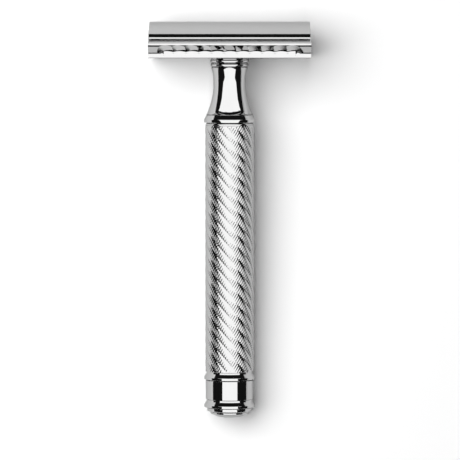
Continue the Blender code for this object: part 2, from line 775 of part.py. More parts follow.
# Stud: a shank pressed into the cap, threaded where it enters the neck
shoulder = under_cap(SHANK_RADIUS)
thread_top = plate_bottom + THREAD_IN_PLATE
stud_outline = [
    (0, cap_under_apex + SPIGOT_LENGTH),
    (SPIGOT_RADIUS, cap_under_apex + SPIGOT_LENGTH),
    (SPIGOT_RADIUS, shoulder),
    (SHANK_RADIUS, shoulder),
    (SHANK_RADIUS, thread_top - SCREW_PITCH),
    (0, thread_top - SCREW_PITCH),
]
cap_stud = add_part("cap_stud", outline_mesh("cap_stud", stud_outline, False), STEEL)
turn(cap_stud, SMALL_TURN_STEPS)
stud_thread = threaded_rod("stud_thread", SCREW_RADIUS, SCREW_PITCH, SCREW_DEPTH, stud_tip, thread_top)
trim_outline = [
    (0, thread_top),
    (SHANK_RADIUS - SEAT_GAP, thread_top),
    (SCREW_RADIUS + SCREW_DEPTH, thread_top - SCREW_PITCH),
    (SCREW_RADIUS + SCREW_DEPTH, stud_tip + SCREW_PITCH),
    (STUD_TIP_RADIUS, stud_tip),
    (0, stud_tip),
]
stud_trim = add_cutter("stud_trim", outline_mesh("stud_trim", trim_outline, False))
turn(stud_trim, SMALL_TURN_STEPS)
combine(stud_thread, stud_trim, "INTERSECT")
combine(cap_stud, stud_thread, "UNION")

# Locating pins: pressed into the cap, through the blade's slot and into the plate
pin_shoulder = under_cap(PIN_RADIUS)
pin_tip = cap_under_apex - PIN_LENGTH
pin_chamfer = PIN_RADIUS - PIN_SPIGOT_RADIUS
pin_outline = [
    (0, cap_under_apex + PIN_SPIGOT_LENGTH),
    (PIN_SPIGOT_RADIUS, cap_under_apex + PIN_SPIGOT_LENGTH),
    (PIN_SPIGOT_RADIUS, pin_shoulder),
    (PIN_RADIUS, pin_shoulder),
    (PIN_RADIUS, pin_tip + pin_chamfer),
    (PIN_RADIUS - pin_chamfer, pin_tip),
    (0, pin_tip),
]
for name, side in (("cap_pin_left", -1), ("cap_pin_right", 1)):
    pin = add_part(name, outline_mesh(name, pin_outline, False))
    pin.location.x = side * PIN_OFFSET
    turn(pin, SMALL_TURN_STEPS)


def reach_below(points, tilt):
    """How far a set of outline points reaches below the handle's axis when it lies tilted."""
    return max(y * math.cos(tilt) - z * math.sin(tilt) for y, z in points)


def rest_tilt():
    """The slope of the handle when the bar and the lower foot bead both touch the surface."""
    low = 0.0
    high = STEEPEST_TILT
    for _ in range(TILT_HALVINGS):
        middle = (low + high) / 2
        if reach_below(bar_round, middle) > reach_below(lower_bead, middle):
            low = middle
        else:
            high = middle
    return low


# Lays the razor down with the middle of its footprint at the origin
tilt = rest_tilt()
rest_frame.rotation_euler = (tilt - math.pi / 2, 0, 0)
bpy.context.view_layer.update()
graph = bpy.context.evaluated_depsgraph_get()
corners = []
for piece in razor.objects:
    if piece.type == "MESH":
        solid = piece.evaluated_get(graph)
        corners += [solid.matrix_world @ vert.co for vert in solid.data.vertices]
lowest = Vector([min(corner[i] for corner in corners) for i in range(3)])
highest = Vector([max(corner[i] for corner in corners) for i in range(3)])
middle = (lowest + highest) / 2
rest_frame.location = (-middle.x, -middle.y, -lowest.z)
bpy.context.view_layer.update()
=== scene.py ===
import json
import math

import bmesh
import bpy
from mathutils import Matrix, Vector


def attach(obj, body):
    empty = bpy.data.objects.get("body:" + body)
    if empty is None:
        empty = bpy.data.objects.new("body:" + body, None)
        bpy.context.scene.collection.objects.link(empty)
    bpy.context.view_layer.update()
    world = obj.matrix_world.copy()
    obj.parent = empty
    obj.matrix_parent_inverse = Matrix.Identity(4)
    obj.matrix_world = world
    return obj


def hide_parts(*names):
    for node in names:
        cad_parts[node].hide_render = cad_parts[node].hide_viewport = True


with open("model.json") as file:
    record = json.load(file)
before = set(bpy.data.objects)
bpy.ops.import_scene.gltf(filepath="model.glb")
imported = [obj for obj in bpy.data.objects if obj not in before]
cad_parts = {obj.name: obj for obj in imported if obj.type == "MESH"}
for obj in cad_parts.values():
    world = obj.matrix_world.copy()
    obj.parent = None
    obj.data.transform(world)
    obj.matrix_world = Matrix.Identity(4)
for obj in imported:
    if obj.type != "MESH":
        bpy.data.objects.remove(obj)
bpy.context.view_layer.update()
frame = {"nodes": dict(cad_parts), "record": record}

# The table and the studio round it: a wide white sheet that the razor lies on, a softbox
# hung over it with its waist above the foot, a lamp at the upper left for the shadow,
# and a dark room with a pale horizon. The camera looks straight down, as in the photo.
MM = 0.001
FRAME_WIDTH = 124.6 * MM
CAMERA_DISTANCE = 0.93
CAMERA_AIM = Vector((0.10 * MM, -2.75 * MM, 9.5 * MM))
SENSOR_WIDTH = 36.0
FLOOR_SIZE = 6.0
FLOOR_GAP = 0.1 * MM
FLOOR_WHITE = (0.90, 0.90, 0.90, 1.0)
FLOOR_ROUGHNESS = 0.9
FLOOR_GLOW = 0.02
SOFTBOX_HEIGHT = 1.007
SOFTBOX_SHIFT = 0.032
SOFTBOX_OUTLINE = (
    (1.000, -1.10),
    (0.760, -0.36),
    (0.730, -0.20),
    (0.850, -0.11),
    (1.080, -0.04),
    (1.130, 0.03),
    (1.360, 0.63),
    (1.840, 1.23),
    (2.320, 1.67),
    (1.480, 1.26),
    (0.640, 0.955),
    (0.360, 0.88),
)
SOFTBOX_RADIANCE = 1.95
KEY_SIZE = (1.36, 1.16)
KEY_PLACE = (-0.58, 0.18, 1.0)
KEY_POWER = 23.7
ROOM_DARK = (0.012, 0.012, 0.012, 1.0)
PURE_WHITE = (1.0, 1.0, 1.0, 1.0)
HORIZON_RISE = 0.03

scene = bpy.context.scene
scene.view_settings.view_transform = "Standard"

lens = bpy.data.cameras.new("camera")
lens.sensor_width = SENSOR_WIDTH
lens.lens = SENSOR_WIDTH * CAMERA_DISTANCE / FRAME_WIDTH
camera = bpy.data.objects.new("camera", lens)
camera.location = CAMERA_AIM + Vector((0, 0, CAMERA_DISTANCE))
scene.collection.objects.link(camera)
scene.camera = camera


def calc(tree, operation, *values):
    """A Math node in a tree, fed by sockets or plain numbers. Gives its output."""
    node = tree.nodes.new("ShaderNodeMath")
    node.operation = operation
    for slot, value in zip(node.inputs, values):
        if isinstance(value, bpy.types.NodeSocket):
            tree.links.new(value, slot)
        else:
            slot.default_value = value
    return node.outputs[0]


def staged(name, corners, material):
    """A flat sheet that belongs to the studio and not to the razor."""
    mesh = bpy.data.meshes.new(name)
    shape = bmesh.new()
    shape.faces.new([shape.verts.new(corner) for corner in corners])
    shape.to_mesh(mesh)
    shape.free()
    mesh.materials.append(material)
    thing = bpy.data.objects.new(name, mesh)
    scene.collection.objects.link(thing)
    return thing


sheet = bpy.data.materials.new("white_sheet")
sheet.use_nodes = True
surface = sheet.node_tree.nodes["Principled BSDF"]
surface.inputs["Base Color"].default_value = FLOOR_WHITE
surface.inputs["Roughness"].default_value = FLOOR_ROUGHNESS
surface.inputs["Specular IOR Level"].default_value = 0.0
surface.inputs["Emission Color"].default_value = PURE_WHITE
rays = sheet.node_tree.nodes.new("ShaderNodeLightPath")
seen = calc(sheet.node_tree, "ADD", rays.outputs["Is Camera Ray"], rays.outputs["Is Glossy Ray"])
seen = calc(sheet.node_tree, "ADD", seen, rays.outputs["Is Transmission Ray"])
glow = calc(sheet.node_tree, "MULTIPLY", seen, FLOOR_GLOW)
sheet.node_tree.links.new(glow, surface.inputs["Emission Strength"])
half = FLOOR_SIZE / 2
table_corners = ((-half, -half), (half, -half), (half, half), (-half, half))
staged("table", [(x, y, -FLOOR_GAP) for x, y in table_corners], sheet)

lit_cloth = bpy.data.materials.new("lit_cloth")
lit_cloth.use_nodes = True
lit_nodes = lit_cloth.node_tree.nodes
lit_nodes.remove(lit_nodes["Principled BSDF"])
lit = lit_nodes.new("ShaderNodeEmission")
lit.inputs["Strength"].default_value = SOFTBOX_RADIANCE
lit_cloth.node_tree.links.new(lit.outputs[0], lit_nodes["Material Output"].inputs["Surface"])
right_edge = [(SOFTBOX_SHIFT + x, y, SOFTBOX_HEIGHT) for x, y in SOFTBOX_OUTLINE]
left_edge = [(SOFTBOX_SHIFT - x, y, SOFTBOX_HEIGHT) for x, y in reversed(SOFTBOX_OUTLINE)]
softbox = staged("softbox", right_edge + left_edge, lit_cloth)
softbox.visible_camera = False
softbox.visible_diffuse = False
softbox.visible_shadow = False

key_light = bpy.data.lights.new("key", "AREA")
key_light.shape = "RECTANGLE"
key_light.size, key_light.size_y = KEY_SIZE
key_light.energy = KEY_POWER
key = bpy.data.objects.new("key", key_light)
key.location = KEY_PLACE
key.visible_camera = False
key.visible_glossy = False
scene.collection.objects.link(key)

room = bpy.data.worlds.new("room")
room.use_nodes = True
scene.world = room
where = room.node_tree.nodes.new("ShaderNodeTexCoord")
height = room.node_tree.nodes.new("ShaderNodeSeparateXYZ")
room.node_tree.links.new(where.outputs["Generated"], height.inputs["Vector"])
shade = room.node_tree.nodes.new("ShaderNodeMix")
shade.data_type = "RGBA"
shade.inputs["A"].default_value = PURE_WHITE
shade.inputs["B"].default_value = ROOM_DARK
above = calc(room.node_tree, "GREATER_THAN", height.outputs["Z"], HORIZON_RISE)
room.node_tree.links.new(above, shade.inputs["Factor"])
room.node_tree.links.new(shade.outputs["Result"], room.node_tree.nodes["Background"].inputs["Color"])

# End button: the domed foot, turned from brass bar and chrome plated. The rod inside
# the handle screws into it and draws the whole handle together.
BUTTON_WALL_RADIUS = 6.15
BUTTON_FOOT = ((6.08, 1.70, 0.2), (5.30, 1.40, 0.06), (5.22, 0.92, 0.3))
BUTTON_DOME = ((4.45, 0.62), (3.6, 0.22), (2.6, 0.0))
BUTTON_STEM = 4.2
BUTTON_EDGE = 0.12
ROD_BORE = 2.15 * MM
JOINT_GAP = 0.02 * MM
LATHE_SIDES = 128
WELD_DISTANCE = 0.0005 * MM
SHARP_ANGLE = math.radians(40)
EDGE_TINT = 0.6
CLOUD_SCALE = 260.0
CLOUD_DETAIL = 3.0
CLOUD_ON_TONE = 0.1
HAIRLINE_STRETCH = (9000.0, 500.0, 9000.0)
HAIRLINE_DEPTH = 0.01 * MM
CHROME_TONE = 0.47

foot_mount = frame["record"]["mounts"][0]
AXIS = -Vector(foot_mount["axis"]).normalized()
ACROSS = Vector((1, 0, 0))
BACK = AXIS.cross(ACROSS)
LAY = Matrix.Translation(foot_mount["pos_m"]) @ Matrix((ACROSS, BACK, AXIS)).transposed().to_4x4()


def span(node):
    """The lowest and highest point of a CAD node along the handle's axis, from the foot."""
    upright = LAY.inverted()
    heights = [(upright @ vert.co).z for vert in frame["nodes"][node].data.vertices]
    return min(heights), max(heights)


def flowing(points, steps=8):
    """A smooth line through points, each given as radius and height."""
    ends = [points[0]] + list(points) + [points[-1]]
    line = []
    for before, start, end, after in zip(ends, ends[1:], ends[2:], ends[3:]):
        for i in range(steps):
            t = i / steps
            line.append(
                tuple(
                    b + t / 2 * (c - a + t * (2 * a - 5 * b + 4 * c - d + t * (3 * (b - c) + d - a)))
                    for a, b, c, d in zip(before, start, end, after)
                )
            )
    return line + [points[-1]]


def eased(corners, steps=6):
    """An outline whose corners, each with its own easing radius, are rounded off."""
    line = []
    for i, (radius, height, ease) in enumerate(corners):
        here = Vector((radius, height))
        if ease == 0 or i in (0, len(corners) - 1):
            line.append(tuple(here))
            continue
        to_last = (Vector(corners[i - 1][:2]) - here).normalized()
        to_next = (Vector(corners[i + 1][:2]) - here).normalized()
        half_angle = to_last.angle(to_next) / 2
        reach = ease / math.tan(half_angle)
        centre = here + (to_last + to_next).normalized() * (ease / math.sin(half_angle))
        start = here + to_last * reach - centre
        turn = start.angle_signed(here + to_next * reach - centre)
        for j in range(steps + 1):
            angle = -turn * j / steps
            cos, sin = math.cos(angle), math.sin(angle)
            x = centre.x + start.x * cos - start.y * sin
            y = centre.y + start.x * sin + start.y * cos
            line.append((x, y))
    return line


def in_place(name, shape):
    """Lays a shape that was drawn upright down where the razor lies, as a smooth piece."""
    bmesh.ops.remove_doubles(shape, verts=shape.verts, dist=WELD_DISTANCE)
    bmesh.ops.recalc_face_normals(shape, faces=shape.faces)
    mesh = bpy.data.meshes.new(name)
    shape.to_mesh(mesh)
    shape.free()
    mesh.transform(LAY)
    mesh.shade_smooth()
    mesh.set_sharp_from_angle(angle=SHARP_ANGLE)
    piece = bpy.data.objects.new(name, mesh)
    scene.collection.objects.link(piece)
    return piece


def turned(name, outline, sides=LATHE_SIDES, x=0.0):
    """A piece turned on a lathe: an outline of radius and height spun round."""
    shape = bmesh.new()
    points = [shape.verts.new((radius, 0, height)) for radius, height in outline]
    lines = [shape.edges.new(pair) for pair in zip(points, points[1:])]
    bmesh.ops.spin(
        shape, geom=points + lines, axis=(0, 0, 1), cent=(0, 0, 0), angle=2 * math.pi, steps=sides
    )
    bmesh.ops.translate(shape, verts=shape.verts, vec=(x, 0, 0))
    return in_place(name, shape)


def group_with(name, given, made):
    """An empty shader node group with named inputs and outputs."""
    group = bpy.data.node_groups.new(name, "ShaderNodeTree")
    for label in given:
        group.interface.new_socket(label, in_out="INPUT", socket_type="NodeSocketFloat")
    for label in made:
        group.interface.new_socket(label, in_out="OUTPUT", socket_type="NodeSocketFloat")
    return group, group.nodes.new("NodeGroupInput").outputs, group.nodes.new("NodeGroupOutput").inputs


wear, wear_in, wear_out = group_with(
    "metal_wear", ("Tone", "Roughness", "Cloud", "Hairline"), ("Tone", "Roughness", "Height")
)
wear_place = wear.nodes.new("ShaderNodeTexCoord").outputs["Object"]
cloud = wear.nodes.new("ShaderNodeTexNoise")
cloud.inputs["Scale"].default_value = CLOUD_SCALE
cloud.inputs["Detail"].default_value = CLOUD_DETAIL
wear.links.new(wear_place, cloud.inputs["Vector"])
stretch = wear.nodes.new("ShaderNodeVectorMath")
stretch.operation = "MULTIPLY"
stretch.inputs[1].default_value = HAIRLINE_STRETCH
wear.links.new(wear_place, stretch.inputs[0])
hairline = wear.nodes.new("ShaderNodeTexNoise")
hairline.inputs["Scale"].default_value = 1.0
wear.links.new(stretch.outputs[0], hairline.inputs["Vector"])
swing = calc(wear, "MULTIPLY", calc(wear, "SUBTRACT", cloud.outputs["Fac"], 0.5), wear_in["Cloud"])
more = calc(wear, "ADD", 1.0, swing)
less = calc(wear, "SUBTRACT", 1.0, calc(wear, "MULTIPLY", swing, CLOUD_ON_TONE))
wear.links.new(calc(wear, "MULTIPLY", wear_in["Tone"], less), wear_out["Tone"])
wear.links.new(calc(wear, "MULTIPLY", wear_in["Roughness"], more), wear_out["Roughness"])
wear.links.new(calc(wear, "MULTIPLY", hairline.outputs["Fac"], wear_in["Hairline"]), wear_out["Height"])


def metal(name, tone, roughness, cloud=0.6, hairline=0.02):
    """A metal of one grey tone, with faint clouds in its polish and hairlines along it."""
    material = bpy.data.materials.new(name)
    material.use_nodes = True
    tree = material.node_tree
    worn = tree.nodes.new("ShaderNodeGroup")
    worn.node_tree = wear
    for label, value in zip(("Tone", "Roughness", "Cloud", "Hairline"), (tone, roughness, cloud, hairline)):
        worn.inputs[label].default_value = value
    bump = tree.nodes.new("ShaderNodeBump")
    bump.inputs["Distance"].default_value = HAIRLINE_DEPTH
    tree.links.new(worn.outputs["Height"], bump.inputs["Height"])
    shader = tree.nodes["Principled BSDF"]
    shader.inputs["Metallic"].default_value = 1.0
    shader.inputs["Specular Tint"].default_value = (EDGE_TINT, EDGE_TINT, EDGE_TINT, 1.0)
    tree.links.new(worn.outputs["Tone"], shader.inputs["Base Color"])
    tree.links.new(worn.outputs["Roughness"], shader.inputs["Roughness"])
    tree.links.new(bump.outputs["Normal"], shader.inputs["Normal"])
    return material


def dress(piece, material, body, node):
    """Gives a piece its finish and its body, and hides the CAD node that it stands for."""
    piece.data.materials.clear()
    piece.data.materials.append(material)
    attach(piece, body)
    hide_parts(node)


collar_low, collar_end = span("foot_collar")
button_top = collar_low - JOINT_GAP
rod_low = span("tie_rod")[0] - JOINT_GAP
stem_top = span("end_button")[1]
button_corners = [(ROD_BORE, rod_low, 0), (ROD_BORE, stem_top, 0), (BUTTON_STEM * MM, stem_top, 0)]
button_corners.append((BUTTON_STEM * MM, button_top, 0))
button_corners.append((BUTTON_WALL_RADIUS * MM, button_top, BUTTON_EDGE * MM))
button_corners += [tuple(size * MM for size in corner) for corner in BUTTON_FOOT]
button_dome = flowing([(r * MM, h * MM) for r, h in BUTTON_DOME])
button_side = eased(button_corners + [(*button_dome[0], 0)])[:-1]
button_outline = [(0, rod_low)] + button_side + button_dome + [(0, 0)]
bright_chrome = metal("bright_chrome", CHROME_TONE, roughness=0.035)
end_button = turned("end_button_dome", button_outline)
dress(end_button, bright_chrome, "handle", "end_button")

# Foot collar: a plain band between two beads, turned from brass in one piece, plated and
# pressed into the lower end of the grip.
BAND_RADIUS = 6.51 * MM
BEAD_HEIGHT = 2.2 * MM
FOOT_BEAD = ((6.32, 0.44, 0.05), (6.95, 1.42, 0.10), (6.95, 2.02, 0.05))
COLLAR_EDGE = 6.25 * MM
SPIGOT_RADIUS = 4.47 * MM
STEM_BORE = 4.35 * MM
BAND_FILLET = 0.18 * MM


def bead(shape, high, top_edge, low_edge):
    """A bead from its upper edge down: a cone out, a narrow crest and a quick way back in."""
    corners = [(radius * MM, high - drop * MM, ease * MM) for radius, drop, ease in shape]
    return eased([(top_edge, high, 0)] + corners + [(low_edge, high - BEAD_HEIGHT, 0)], steps=10)


grip_low, grip_high = span("grip_sleeve")
collar_top = grip_low - JOINT_GAP
band_low = collar_low + BEAD_HEIGHT
band_high = collar_top - BEAD_HEIGHT
collar_outline = [(ROD_BORE, collar_end), (SPIGOT_RADIUS, collar_end), (SPIGOT_RADIUS, collar_top)]
collar_outline += bead(FOOT_BEAD, collar_top, COLLAR_EDGE, COLLAR_EDGE)
collar_outline += [(BAND_RADIUS, band_high - BAND_FILLET), (BAND_RADIUS, band_low + BAND_FILLET)]
collar_outline += bead(FOOT_BEAD, band_low, COLLAR_EDGE, COLLAR_EDGE)
stem_room = stem_top + JOINT_GAP
collar_outline += [(STEM_BORE, collar_low), (STEM_BORE, stem_room), (ROD_BORE, stem_room)]
collar_outline.append(collar_outline[0])
foot_collar = turned("foot_collar_band", collar_outline)
dress(foot_collar, bright_chrome, "handle", "foot_collar")

# Grip sleeve: a brass tube, rolled with fifteen coarse left-hand strands and then with
# fine right-hand ridges across them, plated, and clamped between collar and ring.
GRIP_RADIUS = 6.60 * MM
GRIP_BORE = 4.62 * MM
STRANDS = 15
STRAND_LEAD = 47.3 * MM
STRAND_DEPTH = 0.20 * MM
STRAND_RISE = 0.15
RIDGES = 56
RIDGE_LEAD = 71.4 * MM
RIDGE_DEPTH = 0.17 * MM
RIDGE_ROUND = 0.8
RIDGE_FADE = (0.42, 0.78)
RIDGE_POINTS = 4
GRIP_ROWS = 380
BORE_ROWS = 24
END_BAND = 0.35 * MM
END_DROP = 0.08 * MM
SEAM_WELD = 0.001 * MM


def tree_with(name, sizes):
    """An empty node tree whose named inputs hold the sizes of what it makes."""
    tree = bpy.data.node_groups.new(name, "GeometryNodeTree")
    for label, (kind, _) in sizes.items():
        tree.interface.new_socket(label, in_out="INPUT", socket_type=kind)
    tree.interface.new_socket("Geometry", in_out="OUTPUT", socket_type="NodeSocketGeometry")
    return tree


def grown(name, tree, sizes):
    """Runs a node tree with its sizes and gives what it makes as a plain piece."""
    piece = bpy.data.objects.new(name, bpy.data.meshes.new(name + "_seed"))
    scene.collection.objects.link(piece)
    grow = piece.modifiers.new("grow", "NODES")
    grow.node_group = tree
    slots = {item.name: item.identifier for item in tree.interface.items_tree if item.in_out == "INPUT"}
    for label, (_, value) in sizes.items():
        grow[slots[label]] = value
    bpy.context.view_layer.update()
    graph = bpy.context.evaluated_depsgraph_get()
    mesh = bpy.data.meshes.new_from_object(piece.evaluated_get(graph))
    piece.modifiers.remove(grow)
    piece.data = mesh
    mesh.name = name
    return piece


knurled_chrome = metal("knurled_chrome", CHROME_TONE, roughness=0.10)
FLOAT = "NodeSocketFloat"
WHOLE = "NodeSocketInt"
grip_sizes = {
    "Length": (FLOAT, grip_high - grip_low),
    "Radius": (FLOAT, GRIP_RADIUS),
    "Bore": (FLOAT, GRIP_BORE),
    "Strands": (WHOLE, STRANDS),
    "Strand Lead": (FLOAT, STRAND_LEAD),
    "Strand Depth": (FLOAT, STRAND_DEPTH),
    "Ridges": (WHOLE, RIDGES),
    "Ridge Lead": (FLOAT, RIDGE_LEAD),
    "Ridge Depth": (FLOAT, RIDGE_DEPTH),
    "End Band": (FLOAT, END_BAND),
    "End Drop": (FLOAT, END_DROP),
    "Rows": (WHOLE, GRIP_ROWS),
    "Finish": ("NodeSocketMaterial", knurled_chrome),
}
sleeve_tree = tree_with("knurled_sleeve", grip_sizes)
given = sleeve_tree.nodes.new("NodeGroupInput").outputs
wire = sleeve_tree.links.new


def maths(operation, *values):
    """A Math node in the sleeve's own tree."""
    return calc(sleeve_tree, operation, *values)


def sheet_of(columns, rows):
    """A flat grid, with its place across and along as shares from 0 to 1."""
    grid = sleeve_tree.nodes.new("GeometryNodeMeshGrid")
    wire(maths("ADD", columns, 1), grid.inputs["Vertices X"])
    wire(maths("ADD", rows, 1), grid.inputs["Vertices Y"])
    place = sleeve_tree.nodes.new("GeometryNodeInputPosition")
    parts = sleeve_tree.nodes.new("ShaderNodeSeparateXYZ")
    wire(place.outputs[0], parts.inputs[0])
    across, along = (maths("ADD", parts.outputs[label], 0.5) for label in ("X", "Y"))
    return grid.outputs["Mesh"], across, along


def wrapped(mesh, around, height, radius):
    """Rolls a grid round the axis at a radius, twisted along the fine ridges."""
    twist = maths("ADD", around, maths("DIVIDE", height, given["Ridge Lead"]))
    angle = maths("MULTIPLY", twist, 2 * math.pi)
    place = sleeve_tree.nodes.new("ShaderNodeCombineXYZ")
    wire(maths("MULTIPLY", radius, maths("COSINE", angle)), place.inputs["X"])
    wire(maths("MULTIPLY", radius, maths("SINE", angle)), place.inputs["Y"])
    wire(height, place.inputs["Z"])
    move = sleeve_tree.nodes.new("GeometryNodeSetPosition")
    wire(mesh, move.inputs["Geometry"])
    wire(place.outputs[0], move.inputs["Position"])
    return move.outputs[0]


columns = maths("MULTIPLY", given["Ridges"], RIDGE_POINTS)
skin, around, along = sheet_of(columns, given["Rows"])
height = maths("MULTIPLY", along, given["Length"])
leads = maths("ADD", maths("DIVIDE", 1, given["Ridge Lead"]), maths("DIVIDE", 1, given["Strand Lead"]))
strand = maths("MULTIPLY", maths("ADD", around, maths("MULTIPLY", height, leads)), given["Strands"])
across = maths("FRACT", strand)
rise = maths("DIVIDE", across, STRAND_RISE)
fall = maths("DIVIDE", maths("MAXIMUM", maths("SUBTRACT", across, STRAND_RISE), 0), 1 - STRAND_RISE)
strand_swell = maths("MINIMUM", rise, maths("SUBTRACT", 1, maths("MULTIPLY", fall, fall)))
ridge = maths("MULTIPLY", around, given["Ridges"])
ridge_wave = maths("ABSOLUTE", maths("SINE", maths("MULTIPLY", ridge, math.pi)))
ridge_swell = maths("POWER", ridge_wave, RIDGE_ROUND)
from_end = maths("MINIMUM", height, maths("SUBTRACT", given["Length"], height))
full = maths("MINIMUM", maths("DIVIDE", from_end, given["End Band"]), 1)
strand_cut = maths("MULTIPLY", given["Strand Depth"], maths("SUBTRACT", 1, strand_swell))
ridge_left = maths("DIVIDE", maths("SUBTRACT", RIDGE_FADE[1], across), RIDGE_FADE[1] - RIDGE_FADE[0])
ridge_left = maths("MINIMUM", maths("MAXIMUM", ridge_left, 0), 1)
ridge_cut = maths("MULTIPLY", given["Ridge Depth"], maths("SUBTRACT", 1, ridge_swell))
ridge_cut = maths("MULTIPLY", ridge_cut, ridge_left)
cut = maths("MULTIPLY", maths("ADD", strand_cut, ridge_cut), full)
end_drop = maths("MULTIPLY", given["End Drop"], maths("SUBTRACT", 1, full))
skin = wrapped(skin, around, height, maths("SUBTRACT", maths("SUBTRACT", given["Radius"], cut), end_drop))

lining, around, along = sheet_of(columns, BORE_ROWS)
rim_share = 1 / BORE_ROWS
inner = maths("DIVIDE", maths("SUBTRACT", along, rim_share), 1 - 2 * rim_share)
inner = maths("MINIMUM", maths("MAXIMUM", inner, 0), 1)
height = maths("MULTIPLY", inner, given["Length"])
at_rim = maths("GREATER_THAN", maths("ABSOLUTE", maths("SUBTRACT", along, 0.5)), 0.5 - rim_share / 2)
rim_radius = maths("SUBTRACT", given["Radius"], given["End Drop"])
step_out = maths("MULTIPLY", at_rim, maths("SUBTRACT", rim_radius, given["Bore"]))
lining = wrapped(lining, around, height, maths("ADD", given["Bore"], step_out))
flip = sleeve_tree.nodes.new("GeometryNodeFlipFaces")
wire(lining, flip.inputs[0])

join = sleeve_tree.nodes.new("GeometryNodeJoinGeometry")
wire(skin, join.inputs[0])
wire(flip.outputs[0], join.inputs[0])
weld = sleeve_tree.nodes.new("GeometryNodeMergeByDistance")
weld.inputs["Distance"].default_value = SEAM_WELD
wire(join.outputs[0], weld.inputs["Geometry"])
realize = sleeve_tree.nodes.new("GeometryNodeRealizeInstances")
wire(weld.outputs[0], realize.inputs[0])
finish = sleeve_tree.nodes.new("GeometryNodeSetMaterial")
wire(realize.outputs[0], finish.inputs["Geometry"])
wire(given["Finish"], finish.inputs["Material"])
wire(finish.outputs[0], sleeve_tree.nodes.new("NodeGroupOutput").inputs[0])

grip_sleeve = grown("grip_sleeve_knurled", sleeve_tree, grip_sizes)
grip_sleeve.data.transform(LAY @ Matrix.Translation((0, 0, grip_low)))
grip_sleeve.data.shade_smooth()
dress(grip_sleeve, knurled_chrome, "handle", "grip_sleeve")

# Shoulder ring: a bead over a narrow step, turned from brass, plated and held between the
# grip and the neck.
RING_BEAD = ((6.42, 0.20, 0.05), (6.97, 1.36, 0.15), (6.97, 2.14, 0.05))
RING_EDGE = 6.20 * MM
RING_STEP = (6.56 * MM, 0.46 * MM)
RING_BORE = 4.7 * MM

ring_low = grip_high + JOINT_GAP
ring_high = span("shoulder_ring")[1]
ring_outline = [(RING_BORE, ring_high)] + bead(RING_BEAD, ring_high, RING_EDGE, RING_EDGE)
ring_outline += [(RING_STEP[0], ring_high - BEAD_HEIGHT - RING_STEP[1]), (RING_STEP[0], ring_low)]
ring_outline += [(RING_BORE, ring_low), (RING_BORE, ring_high)]
shoulder_ring = turned("shoulder_ring_bead", ring_outline)
dress(shoulder_ring, bright_chrome, "handle", "shoulder_ring")

# Neck: a turned brass piece, plated, that flares out to the ring below and to two small beads
# under the guard plate. The cap's stud screws into it.
NECK_FLARE_RADIUS = 6.10 * MM
NECK_WAIST_RADIUS = 4.38 * MM
NECK_TOP_RADIUS = 5.00 * MM
NECK_FLARE_HEIGHT = 8.1 * MM
NECK_RISE_HEIGHT = 4.45 * MM
NECK_FLARE_POWER = 1.9
NECK_RISE_POWER = 3
NECK_EDGE = 0.38 * MM
NECK_LIP_RADIUS = 6.38 * MM
NECK_BEADS = (
    (5.13, 0.0, 0),
    (5.15, 0.36, 0.04),
    (5.28, 0.60, 0.06),
    (5.28, 0.92, 0.10),
    (4.90, 1.16, 0.03),
    (5.16, 1.62, 0.06),
    (5.16, 2.00, 0.05),
    (4.86, 2.22, 0),
)
NECK_BORE = 2.6 * MM
NECK_TAP_SPARE = 1.5 * MM
NECK_STEPS = 24

neck_low = ring_high + JOINT_GAP
neck_end, neck_high = span("neck")
waist = neck_low + NECK_FLARE_HEIGHT
tap_low = span("cap_stud")[0] - NECK_TAP_SPARE
rod_high = span("tie_rod")[1] + JOINT_GAP
neck_outline = [(0, tap_low), (NECK_BORE, tap_low), (NECK_BORE, neck_high)]
neck_beads = [(radius * MM, neck_high - drop * MM, ease * MM) for radius, drop, ease in NECK_BEADS]
neck_outline += eased(neck_beads)
for i in range(NECK_STEPS):
    share = i / NECK_STEPS
    radius = NECK_WAIST_RADIUS + (NECK_TOP_RADIUS - NECK_WAIST_RADIUS) * (1 - share) ** NECK_RISE_POWER
    neck_outline.append((radius, waist + NECK_RISE_HEIGHT * (1 - share)))
flare_height = NECK_FLARE_HEIGHT - NECK_EDGE
for i in range(NECK_STEPS + 1):
    share = i / NECK_STEPS
    radius = NECK_WAIST_RADIUS + (NECK_FLARE_RADIUS - NECK_WAIST_RADIUS) * share**NECK_FLARE_POWER
    neck_outline.append((radius, waist - flare_height * share))
neck_outline += [(NECK_LIP_RADIUS, neck_low), (SPIGOT_RADIUS, neck_low), (SPIGOT_RADIUS, neck_end)]
neck_outline += [(ROD_BORE, neck_end), (ROD_BORE, rod_high), (0, rod_high)]
neck = turned("neck_turned", neck_outline)
dress(neck, bright_chrome, "handle", "neck")

# Tie rod: a plain steel bar inside the handle, screwed into the neck and the end button.
# It is out of sight, so the CAD shape stays and only gets its drawn steel.


def finish_cad(node, material):
    """Leaves a piece in its CAD shape and gives it a finish."""
    frame["nodes"][node].data.materials.clear()
    frame["nodes"][node].data.materials.append(material)


drawn_steel = metal("drawn_steel", tone=0.34, roughness=0.30, cloud=0.5, hairline=0.6)
finish_cad("tie_rod", drawn_steel)

